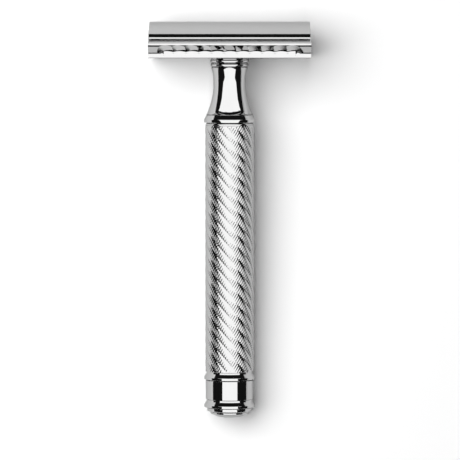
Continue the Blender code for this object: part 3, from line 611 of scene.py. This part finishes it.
# Guard plate: a zinc casting, plated, whose crown bends the blade. A safety bar runs along
# each side, with a row of slanting scoops cast into the slope under it.
BAR_LENGTH = 43.6
BAR_CENTRE = (11.88, 101.05)
BAR_RADIUS = 0.42
BAR_TURN = (22, -14)
SLOPE_ANGLE = 43
WALL_CORNER = (10.0, 98.52)
WALL_ROUND = 1.0
PLATE_DEPTH = 9.70
PLATE_LOW = 97.27
PLATE_EDGE = 0.25
PLATE_ENDS = 0.15
END_SEGMENTS = 4
CUT_ANGLE = math.radians(12)
CROWN_RADIUS = 19.4
CROWN_CENTRE = 85.6
FRONT_TOP = 99.2
FRONT_LENGTH = 35.2
FRONT_DEPTH = 10.06
FRONT_THICK = 0.5
FRONT_LOW = PLATE_LOW + 0.6
SCOOPS = 11
SCOOP_PITCH = 3.391
SCOOP_SIZE = (2.6, 3.6, 0.44)
SCOOP_TAIL = 0.35
SCOOP_FACE = 0.1
SCOOP_SHEAR = 0.15
SCOOP_MIDDLE = 1.6
SCOOP_SEGMENTS = 48
SCOOP_RINGS = 24
HOLE_RADIUS = 2.75
PIN_HOLE_RADIUS = 1.7
PIN_OFFSET = 11.0
HOLE_SPAN = (PLATE_LOW - 1, 106)
HOLE_SIDES = 64


def arc(centre, radius, start, end, steps=12):
    """Points on an arc, with its ends given as directions in degrees."""
    angles = [math.radians(start + (end - start) * i / steps) for i in range(steps + 1)]
    return [(centre[0] + radius * math.cos(a), centre[1] + radius * math.sin(a)) for a in angles]


def between(shape, start, end):
    """A closed body between two rings of points, given in millimetres. Gives its two end faces."""
    rings = [[shape.verts.new(Vector(point) * MM) for point in ring] for ring in (start, end)]
    for i in range(len(start)):
        j = (i + 1) % len(start)
        shape.faces.new((rings[0][i], rings[0][j], rings[1][j], rings[1][i]))
    return [shape.faces.new(ring) for ring in rings]


def drawn(name, outline, length, soften):
    """A bar of one outline of depth and height along the length of the head, with softened ends."""
    shape = bmesh.new()
    rims = between(shape, *([(x, *point) for point in outline] for x in (-length / 2, length / 2)))
    edges = list({edge for rim in rims for edge in rim.edges})
    bmesh.ops.bevel(
        shape, geom=edges, offset=soften * MM, segments=END_SEGMENTS, profile=0.5, affect="EDGES"
    )
    return in_place(name, shape)


def joined(piece, tool, operation):
    """Adds a tool to a piece, or cuts it out, and clears the tool away."""
    step = piece.modifiers.new("step", "BOOLEAN")
    step.object = tool
    step.operation = operation
    step.solver = "MANIFOLD"
    graph = bpy.context.evaluated_depsgraph_get()
    piece.data = bpy.data.meshes.new_from_object(piece.evaluated_get(graph))
    piece.modifiers.clear()
    bpy.data.objects.remove(tool, do_unlink=True)
    piece.data.shade_smooth()
    piece.data.set_sharp_from_angle(angle=CUT_ANGLE)


bar_round = arc(BAR_CENTRE, BAR_RADIUS, *BAR_TURN)
slope_tilt = math.radians(SLOPE_ANGLE)
slope_out = Vector((math.sin(slope_tilt), -math.cos(slope_tilt)))
bar_end = math.radians(BAR_TURN[1])
bar_way = Vector((math.cos(bar_end), math.sin(bar_end)))
bar_inside = (Vector(WALL_CORNER) - Vector(BAR_CENTRE)).dot(slope_out)
brow_more = (bar_inside - BAR_RADIUS) / (1 - bar_way.dot(slope_out))
brow_centre = Vector(BAR_CENTRE) - brow_more * bar_way
bar_round += arc(brow_centre, BAR_RADIUS + brow_more, BAR_TURN[1], SLOPE_ANGLE - 90)[1:]
crown_lean = math.degrees(math.asin(PLATE_DEPTH / CROWN_RADIUS))
plate_half = arc((0, CROWN_CENTRE), CROWN_RADIUS, 90, 90 - crown_lean, steps=24) + bar_round
plate_half += eased(
    [
        (*bar_round[-1], 0),
        (*WALL_CORNER, WALL_ROUND),
        (WALL_CORNER[0], PLATE_LOW, PLATE_EDGE),
        (0, PLATE_LOW, 0),
    ],
    steps=10,
)[1:-1]
guard_outline = plate_half + [(-depth, height) for depth, height in reversed(plate_half[1:])]
guard_plate = drawn("guard_plate_cast", guard_outline, BAR_LENGTH, PLATE_ENDS)

scoop_start = SCOOP_SHEAR * SCOOP_MIDDLE - (SCOOPS - 1) / 2 * SCOOP_PITCH
scoop_sizes = {
    "Count": (WHOLE, SCOOPS),
    "Start": (FLOAT, scoop_start * MM),
    "Pitch": (FLOAT, 2 * SCOOP_PITCH * MM),
    "Width": (FLOAT, SCOOP_SIZE[0] * MM),
    "Length": (FLOAT, SCOOP_SIZE[1] * MM),
    "Tail": (FLOAT, SCOOP_TAIL * MM),
    "Depth": (FLOAT, SCOOP_SIZE[2] * MM),
    "Face": (FLOAT, SCOOP_FACE * MM),
    "Shear": (FLOAT, SCOOP_SHEAR),
    "Slope": (FLOAT, -slope_tilt),
    "Out": (FLOAT, WALL_CORNER[0] * MM),
    "Finish": ("NodeSocketMaterial", bright_chrome),
}
scoop_tree = tree_with("scoop_row", scoop_sizes)
given = scoop_tree.nodes.new("NodeGroupInput").outputs
wire = scoop_tree.links.new
ball = scoop_tree.nodes.new("GeometryNodeMeshUVSphere")
ball.inputs["Segments"].default_value = SCOOP_SEGMENTS
ball.inputs["Rings"].default_value = SCOOP_RINGS
ball.inputs["Radius"].default_value = 1.0
spot = scoop_tree.nodes.new("ShaderNodeSeparateXYZ")
wire(scoop_tree.nodes.new("GeometryNodeInputPosition").outputs[0], spot.inputs[0])
size = scoop_tree.nodes.new("ShaderNodeCombineXYZ")
below = calc(scoop_tree, "GREATER_THAN", spot.outputs["Y"], 0)
reach = calc(scoop_tree, "MULTIPLY", below, calc(scoop_tree, "SUBTRACT", given["Tail"], given["Length"]))
reach = calc(scoop_tree, "ADD", given["Length"], reach)
along = calc(scoop_tree, "MULTIPLY", spot.outputs["Y"], reach)
sheared = calc(scoop_tree, "MULTIPLY", along, given["Shear"])
sideways = calc(scoop_tree, "MULTIPLY", spot.outputs["X"], given["Width"])
wire(calc(scoop_tree, "ADD", sideways, sheared), size.inputs["X"])
wire(along, size.inputs["Y"])
inward = calc(scoop_tree, "GREATER_THAN", spot.outputs["Z"], 0)
swell = calc(scoop_tree, "MULTIPLY", inward, calc(scoop_tree, "SUBTRACT", given["Depth"], given["Face"]))
swell = calc(scoop_tree, "ADD", given["Face"], swell)
bowl = calc(scoop_tree, "MULTIPLY", spot.outputs["Z"], calc(scoop_tree, "ABSOLUTE", spot.outputs["Z"]))
wire(calc(scoop_tree, "MULTIPLY", bowl, swell), size.inputs["Z"])
scoop = scoop_tree.nodes.new("GeometryNodeSetPosition")
wire(ball.outputs["Mesh"], scoop.inputs["Geometry"])
wire(size.outputs[0], scoop.inputs["Position"])
row = scoop_tree.nodes.new("GeometryNodeMeshLine")
wire(given["Count"], row.inputs["Count"])
first = scoop_tree.nodes.new("ShaderNodeCombineXYZ")
wire(given["Start"], first.inputs["X"])
wire(calc(scoop_tree, "MULTIPLY", given["Out"], -1), first.inputs["Y"])
wire(first.outputs[0], row.inputs["Start Location"])
step = scoop_tree.nodes.new("ShaderNodeCombineXYZ")
wire(given["Pitch"], step.inputs["X"])
wire(step.outputs[0], row.inputs["Offset"])
lean = scoop_tree.nodes.new("ShaderNodeCombineXYZ")
wire(given["Slope"], lean.inputs["X"])
tilt = scoop_tree.nodes.new("FunctionNodeEulerToRotation")
wire(lean.outputs[0], tilt.inputs[0])
place = scoop_tree.nodes.new("GeometryNodeInstanceOnPoints")
wire(row.outputs[0], place.inputs["Points"])
wire(scoop.outputs[0], place.inputs["Instance"])
wire(tilt.outputs[0], place.inputs["Rotation"])
real = scoop_tree.nodes.new("GeometryNodeRealizeInstances")
wire(place.outputs[0], real.inputs[0])
finish = scoop_tree.nodes.new("GeometryNodeSetMaterial")
wire(real.outputs[0], finish.inputs["Geometry"])
wire(given["Finish"], finish.inputs["Material"])
wire(finish.outputs[0], scoop_tree.nodes.new("NodeGroupOutput").inputs[0])
slope_place = Matrix.Translation((0, 0, WALL_CORNER[1] * MM))
for turn in (0, math.pi):
    for skipped in (0, 1):
        scoop_sizes["Count"] = (WHOLE, (SCOOPS + 1) // 2 - skipped)
        scoop_sizes["Start"] = (FLOAT, (scoop_start + skipped * SCOOP_PITCH) * MM)
        scoops = grown("scoops", scoop_tree, scoop_sizes)
        scoops.data.transform(LAY @ Matrix.Rotation(turn, 4, "Z") @ slope_place)
        joined(guard_plate, scoops, "DIFFERENCE")

front = [(FRONT_LENGTH / 2 + FRONT_THICK, FRONT_DEPTH - FRONT_THICK), (FRONT_LENGTH / 2, FRONT_DEPTH)]
front += [(-x, depth) for x, depth in reversed(front)]
front += [(x, -depth) for x, depth in reversed(front)]
shape = bmesh.new()
between(shape, *([(x, depth, height) for x, depth in front] for height in (FRONT_LOW, FRONT_TOP)))
joined(guard_plate, in_place("guard_front", shape), "UNION")

hole_low, hole_high = (height * MM for height in HOLE_SPAN)
for x, radius in ((0, HOLE_RADIUS), (-PIN_OFFSET, PIN_HOLE_RADIUS), (PIN_OFFSET, PIN_HOLE_RADIUS)):
    ends = [(0, hole_low), (radius * MM, hole_low), (radius * MM, hole_high), (0, hole_high)]
    joined(guard_plate, turned("hole", ends, sides=HOLE_SIDES, x=x * MM), "DIFFERENCE")
dress(guard_plate, bright_chrome, "guard", "guard_plate")

# Blade: thin tempered steel, ground along both edges and bent over the crown. The CAD shape
# stays and gets its ground steel.
blade_steel = metal("blade_steel", tone=0.40, roughness=0.16, cloud=0.5, hairline=0.4)
finish_cad("blade", blade_steel)

# Cap stud and the two locating pins: turned pieces, set into the cap from below. They show
# only when the head is open, so the CAD shapes stay. The stud is steel, the pins are plated.
finish_cad("cap_stud", drawn_steel)
finish_cad("cap_pin_left", bright_chrome)
finish_cad("cap_pin_right", bright_chrome)

# Cap: a plated zinc casting, domed, with rolled long edges that press the blade down. The stud
# and the pins under it hold it in line with the guard plate.
CAP_LENGTH = 43.2
CAP_DEPTH = 10.25
CAP_TOP = 107.15
CAP_HOLLOW = 19.66
CAP_ROLL = 2.6
CAP_NOSE = 0.75
CAP_NOSE_TURN = 20
CAP_LIP = 102.50
CAP_ENDS = 0.2
CAP_LIP_EDGE = 0.12

nose_way = Vector((math.cos(math.radians(CAP_NOSE_TURN)), math.sin(math.radians(CAP_NOSE_TURN))))
nose_centre = Vector((CAP_DEPTH - CAP_NOSE, CAP_LIP))
roll_centre = nose_centre - (CAP_ROLL - CAP_NOSE) * nose_way
crown_turn = 2 * math.atan((CAP_TOP - CAP_ROLL - roll_centre.y) / roll_centre.x)
crown_radius = roll_centre.x / math.sin(crown_turn) + CAP_ROLL
crown_end = 90 - math.degrees(crown_turn)
cap_half = arc((0, CAP_TOP - crown_radius), crown_radius, 90, crown_end, steps=40)
cap_half += arc(roll_centre, CAP_ROLL, crown_end, CAP_NOSE_TURN, steps=20)[1:]
cap_half += arc(nose_centre, CAP_NOSE, CAP_NOSE_TURN, 0)[1:]
hollow_end = 90 - math.degrees(math.asin((CAP_DEPTH - CAP_LIP_EDGE) / CAP_HOLLOW))
cap_half += arc((0, CROWN_CENTRE), CAP_HOLLOW, hollow_end, 90, steps=24)
cap_outline = cap_half + [(-depth, height) for depth, height in reversed(cap_half[1:-1])]
cap = drawn("cap_cast", cap_outline, CAP_LENGTH, CAP_ENDS)
dress(cap, bright_chrome, "cap_set", "cap")
